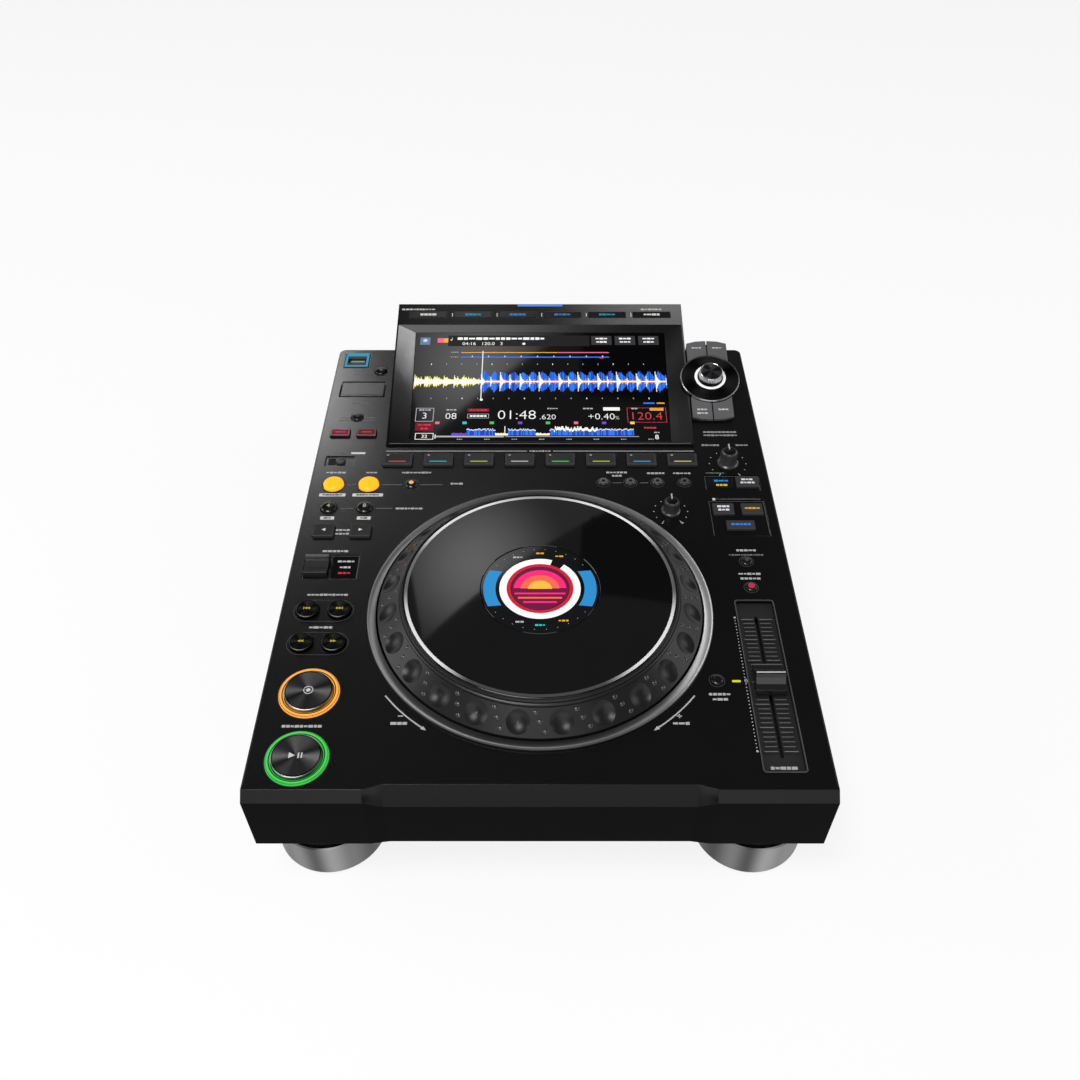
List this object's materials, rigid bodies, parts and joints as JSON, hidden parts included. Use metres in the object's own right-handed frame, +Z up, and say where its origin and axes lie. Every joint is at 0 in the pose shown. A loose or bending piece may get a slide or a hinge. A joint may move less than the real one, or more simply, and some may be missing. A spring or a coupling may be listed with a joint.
{
  "type": "tabletop media player",
  "caption": "Tabletop player for mixing music, with a turning jog wheel, a sloping screen, lit keys, knobs and a tempo slider on a deck that stands on round feet.",
  "frame": {"origin": "on the table under the middle of the outer box", "axes": "+Z up, +Y towards the rear where the screen stands, +X to the right of someone in front"},
  "size_m": [0.329, 0.453, 0.118],
  "materials": {
    "case_plastic": "fine satin grain, charcoal",
    "gloss_black": "polished black",
    "wheel_plastic": "satin charcoal",
    "ring_metal": "fine satin, silver grey",
    "spun_metal": "spun, with a radial sheen",
    "screen_glass": "clear glass over a lit panel",
    "display_panel": "lit panel below a clear lens",
    "light_plastic": "translucent, lit from below",
    "lit_orange": "translucent orange, lit",
    "lit_red": "translucent red, lit",
    "key_black": "satin black",
    "key_grey": "satin grey",
    "key_bright": "bright grey dome",
    "knob_black": "black with a pale pointer",
    "pan_steel": "black powder coat",
    "socket_plastic": "moulded black",
    "board_laminate": "green lacquered laminate",
    "cage_steel": "bare folded steel",
    "foot_metal": "turned and brushed",
    "foot_rubber": "dark rubber and plastic",
    "screw_steel": "plain steel"
  },
  "bodies": {
    "case": {"top_case": "case_plastic", "bottom_pan": "pan_steel", "rear_panel": "pan_steel", "sockets": "socket_plastic", "display_housing": "case_plastic", "screen_glass": "screen_glass", "jog_ring": "ring_metal", "jog_base": "socket_plastic", "jog_display": "display_panel", "light_rings": "light_plastic", "fader_track": "key_black", "selector_base": "gloss_black", "circuit_boards": "board_laminate", "power_supply": "cage_steel", "foot_sleeves": "foot_metal", "foot_cores": "foot_rubber", "screws": "screw_steel"},
    "jog": {"jog_wheel": "wheel_plastic", "jog_plate": "gloss_black"},
    "fader_cap_body": {"fader_cap": "key_grey"},
    "selector_knob_body": {"selector_knob": "knob_black"},
    "speed_knob_body": {"speed_knob": "knob_black"},
    "jog_adjust_knob_body": {"jog_adjust_knob": "knob_black"},
    "direction_lever_body": {"direction_lever": "key_black"},
    "card_lid_body": {"card_lid": "case_plastic"},
    "power_key_body": {"power_key": "key_black"},
    "menu_keys_body": {"menu_keys": "key_black"},
    "selector_keys_body": {"selector_keys": "key_grey"},
    "sync_keys_body": {"sync_keys": "key_black"},
    "memory_keys_body": {"memory_keys": "key_bright"},
    "cue_key_body": {"cue_key": "spun_metal"},
    "play_key_body": {"play_key": "spun_metal"},
    "search_back_key_body": {"search_back_key": "spun_metal"},
    "search_forward_key_body": {"search_forward_key": "spun_metal"},
    "track_back_key_body": {"track_back_key": "spun_metal"},
    "track_forward_key_body": {"track_forward_key": "spun_metal"},
    "half_loop_key_body": {"half_loop_key": "key_black"},
    "double_loop_key_body": {"double_loop_key": "key_black"},
    "loop_in_key_body": {"loop_in_key": "lit_orange"},
    "loop_out_key_body": {"loop_out_key": "lit_orange"},
    "reloop_key_body": {"reloop_key": "gloss_black"},
    "call_key_body": {"call_key": "key_bright"},
    "time_key_body": {"time_key": "key_bright"},
    "media_stop_key_body": {"media_stop_key": "key_bright"},
    "tempo_range_key_body": {"tempo_range_key": "key_black"},
    "tempo_lock_key_body": {"tempo_lock_key": "lit_red"},
    "tempo_reset_key_body": {"tempo_reset_key": "key_black"},
    "jump_back_key_body": {"jump_back_key": "key_black"},
    "jump_forward_key_body": {"jump_forward_key": "key_black"},
    "slip_key_body": {"slip_key": "lit_red"},
    "quantize_key_body": {"quantize_key": "lit_red"},
    "jog_mode_key_body": {"jog_mode_key": "key_black"},
    "hot_cue_key_1_body": {"hot_cue_key_1": "key_black"},
    "hot_cue_key_2_body": {"hot_cue_key_2": "key_black"},
    "hot_cue_key_3_body": {"hot_cue_key_3": "key_black"},
    "hot_cue_key_4_body": {"hot_cue_key_4": "key_black"},
    "hot_cue_key_5_body": {"hot_cue_key_5": "key_black"},
    "hot_cue_key_6_body": {"hot_cue_key_6": "key_black"},
    "hot_cue_key_7_body": {"hot_cue_key_7": "key_black"},
    "hot_cue_key_8_body": {"hot_cue_key_8": "key_black"}
  },
  "joints": [
    {"name": "jog_spin", "type": "hinge", "parent": "case", "child": "jog", "pos_m": [0, -0.0871, 0.1], "axis": [0, 0, 1], "continuous": true},
    {"name": "tempo_slide", "type": "slide", "parent": "case", "child": "fader_cap_body", "axis": [0, 1, 0], "range_m": [-0.05, 0.05]},
    {"name": "selector_spin", "type": "hinge", "parent": "case", "child": "selector_knob_body", "pos_m": [0.1319, 0.1386, 0.1059], "axis": [0, -0.2419, 0.9703], "continuous": true},
    {"name": "speed_turn", "type": "hinge", "parent": "case", "child": "speed_knob_body", "pos_m": [0.1369, 0.053, 0.0936], "axis": [0, 0, 1], "range_deg": [-150, 150]},
    {"name": "jog_adjust_turn", "type": "hinge", "parent": "case", "child": "jog_adjust_knob_body", "pos_m": [0.091, 0.002, 0.0936], "axis": [0, 0, 1], "range_deg": [-150, 150]},
    {"name": "direction_rock", "type": "hinge", "parent": "case", "child": "direction_lever_body", "pos_m": [-0.1476, -0.0512, 0.084], "axis": [1, 0, 0], "range_deg": [-10, 10]},
    {"name": "card_lid_pivot", "type": "hinge", "parent": "case", "child": "card_lid_body", "pos_m": [-0.1398, 0.1514, 0.0924], "axis": [-1, 0, 0], "range_deg": [0, 95]},
    {"name": "power_press", "type": "slide", "parent": "case", "child": "power_key_body", "axis": [0, -1, 0], "range_m": [0, 0.002], "stiffness_N_per_m": 300, "springref_m": -0.001},
    {"name": "menu_keys_press", "type": "slide", "parent": "case", "child": "menu_keys_body", "axis": [0, 0.1482, -0.989], "range_m": [0, 0.0008], "stiffness_N_per_m": 400, "springref_m": -0.001},
    {"name": "selector_keys_press", "type": "slide", "parent": "case", "child": "selector_keys_body", "axis": [0, 0.2419, -0.9703], "range_m": [0, 0.001], "stiffness_N_per_m": 400, "springref_m": -0.001},
    {"name": "sync_keys_press", "type": "slide", "parent": "case", "child": "sync_keys_body", "axis": [0, 0, -1], "range_m": [0, 0.0012], "stiffness_N_per_m": 300, "springref_m": -0.001},
    {"name": "memory_keys_press", "type": "slide", "parent": "case", "child": "memory_keys_body", "axis": [0, 0, -1], "range_m": [0, 0.0012], "stiffness_N_per_m": 300, "springref_m": -0.001},
    {"name": "cue_key_press", "type": "slide", "parent": "case", "child": "cue_key_body", "axis": [0, 0, -1], "range_m": [0, 0.0012], "stiffness_N_per_m": 300, "springref_m": -0.001},
    {"name": "play_key_press", "type": "slide", "parent": "case", "child": "play_key_body", "axis": [0, 0, -1], "range_m": [0, 0.0012], "stiffness_N_per_m": 300, "springref_m": -0.001},
    {"name": "search_back_key_press", "type": "slide", "parent": "case", "child": "search_back_key_body", "axis": [0, 0, -1], "range_m": [0, 0.0012], "stiffness_N_per_m": 300, "springref_m": -0.001},
    {"name": "search_forward_key_press", "type": "slide", "parent": "case", "child": "search_forward_key_body", "axis": [0, 0, -1], "range_m": [0, 0.0012], "stiffness_N_per_m": 300, "springref_m": -0.001},
    {"name": "track_back_key_press", "type": "slide", "parent": "case", "child": "track_back_key_body", "axis": [0, 0, -1], "range_m": [0, 0.0012], "stiffness_N_per_m": 300, "springref_m": -0.001},
    {"name": "track_forward_key_press", "type": "slide", "parent": "case", "child": "track_forward_key_body", "axis": [0, 0, -1], "range_m": [0, 0.0012], "stiffness_N_per_m": 300, "springref_m": -0.001},
    {"name": "half_loop_key_press", "type": "slide", "parent": "case", "child": "half_loop_key_body", "axis": [0, 0, -1], "range_m": [0, 0.0012], "stiffness_N_per_m": 300, "springref_m": -0.001},
    {"name": "double_loop_key_press", "type": "slide", "parent": "case", "child": "double_loop_key_body", "axis": [0, 0, -1], "range_m": [0, 0.0012], "stiffness_N_per_m": 300, "springref_m": -0.001},
    {"name": "loop_in_key_press", "type": "slide", "parent": "case", "child": "loop_in_key_body", "axis": [0, 0, -1], "range_m": [0, 0.0012], "stiffness_N_per_m": 300, "springref_m": -0.001},
    {"name": "loop_out_key_press", "type": "slide", "parent": "case", "child": "loop_out_key_body", "axis": [0, 0, -1], "range_m": [0, 0.0012], "stiffness_N_per_m": 300, "springref_m": -0.001},
    {"name": "reloop_key_press", "type": "slide", "parent": "case", "child": "reloop_key_body", "axis": [0, 0, -1], "range_m": [0, 0.0012], "stiffness_N_per_m": 300, "springref_m": -0.001},
    {"name": "call_key_press", "type": "slide", "parent": "case", "child": "call_key_body", "axis": [0, 0, -1], "range_m": [0, 0.0012], "stiffness_N_per_m": 300, "springref_m": -0.001},
    {"name": "time_key_press", "type": "slide", "parent": "case", "child": "time_key_body", "axis": [0, 0, -1], "range_m": [0, 0.0012], "stiffness_N_per_m": 300, "springref_m": -0.001},
    {"name": "media_stop_key_press", "type": "slide", "parent": "case", "child": "media_stop_key_body", "axis": [0, 0, -1], "range_m": [0, 0.0012], "stiffness_N_per_m": 300, "springref_m": -0.001},
    {"name": "tempo_range_key_press", "type": "slide", "parent": "case", "child": "tempo_range_key_body", "axis": [0, 0, -1], "range_m": [0, 0.0012], "stiffness_N_per_m": 300, "springref_m": -0.001},
    {"name": "tempo_lock_key_press", "type": "slide", "parent": "case", "child": "tempo_lock_key_body", "axis": [0, 0, -1], "range_m": [0, 0.0012], "stiffness_N_per_m": 300, "springref_m": -0.001},
    {"name": "tempo_reset_key_press", "type": "slide", "parent": "case", "child": "tempo_reset_key_body", "axis": [0, 0, -1], "range_m": [0, 0.0012], "stiffness_N_per_m": 300, "springref_m": -0.001},
    {"name": "jump_back_key_press", "type": "slide", "parent": "case", "child": "jump_back_key_body", "axis": [0, 0, -1], "range_m": [0, 0.0012], "stiffness_N_per_m": 300, "springref_m": -0.001},
    {"name": "jump_forward_key_press", "type": "slide", "parent": "case", "child": "jump_forward_key_body", "axis": [0, 0, -1], "range_m": [0, 0.0012], "stiffness_N_per_m": 300, "springref_m": -0.001},
    {"name": "slip_key_press", "type": "slide", "parent": "case", "child": "slip_key_body", "axis": [0, 0, -1], "range_m": [0, 0.0012], "stiffness_N_per_m": 300, "springref_m": -0.001},
    {"name": "quantize_key_press", "type": "slide", "parent": "case", "child": "quantize_key_body", "axis": [0, 0, -1], "range_m": [0, 0.0012], "stiffness_N_per_m": 300, "springref_m": -0.001},
    {"name": "jog_mode_key_press", "type": "slide", "parent": "case", "child": "jog_mode_key_body", "axis": [0, 0, -1], "range_m": [0, 0.0012], "stiffness_N_per_m": 300, "springref_m": -0.001},
    {"name": "hot_cue_key_1_press", "type": "slide", "parent": "case", "child": "hot_cue_key_1_body", "axis": [0, 0, -1], "range_m": [0, 0.0012], "stiffness_N_per_m": 300, "springref_m": -0.001},
    {"name": "hot_cue_key_2_press", "type": "slide", "parent": "case", "child": "hot_cue_key_2_body", "axis": [0, 0, -1], "range_m": [0, 0.0012], "stiffness_N_per_m": 300, "springref_m": -0.001},
    {"name": "hot_cue_key_3_press", "type": "slide", "parent": "case", "child": "hot_cue_key_3_body", "axis": [0, 0, -1], "range_m": [0, 0.0012], "stiffness_N_per_m": 300, "springref_m": -0.001},
    {"name": "hot_cue_key_4_press", "type": "slide", "parent": "case", "child": "hot_cue_key_4_body", "axis": [0, 0, -1], "range_m": [0, 0.0012], "stiffness_N_per_m": 300, "springref_m": -0.001},
    {"name": "hot_cue_key_5_press", "type": "slide", "parent": "case", "child": "hot_cue_key_5_body", "axis": [0, 0, -1], "range_m": [0, 0.0012], "stiffness_N_per_m": 300, "springref_m": -0.001},
    {"name": "hot_cue_key_6_press", "type": "slide", "parent": "case", "child": "hot_cue_key_6_body", "axis": [0, 0, -1], "range_m": [0, 0.0012], "stiffness_N_per_m": 300, "springref_m": -0.001},
    {"name": "hot_cue_key_7_press", "type": "slide", "parent": "case", "child": "hot_cue_key_7_body", "axis": [0, 0, -1], "range_m": [0, 0.0012], "stiffness_N_per_m": 300, "springref_m": -0.001},
    {"name": "hot_cue_key_8_press", "type": "slide", "parent": "case", "child": "hot_cue_key_8_body", "axis": [0, 0, -1], "range_m": [0, 0.0012], "stiffness_N_per_m": 300, "springref_m": -0.001}
  ]
}
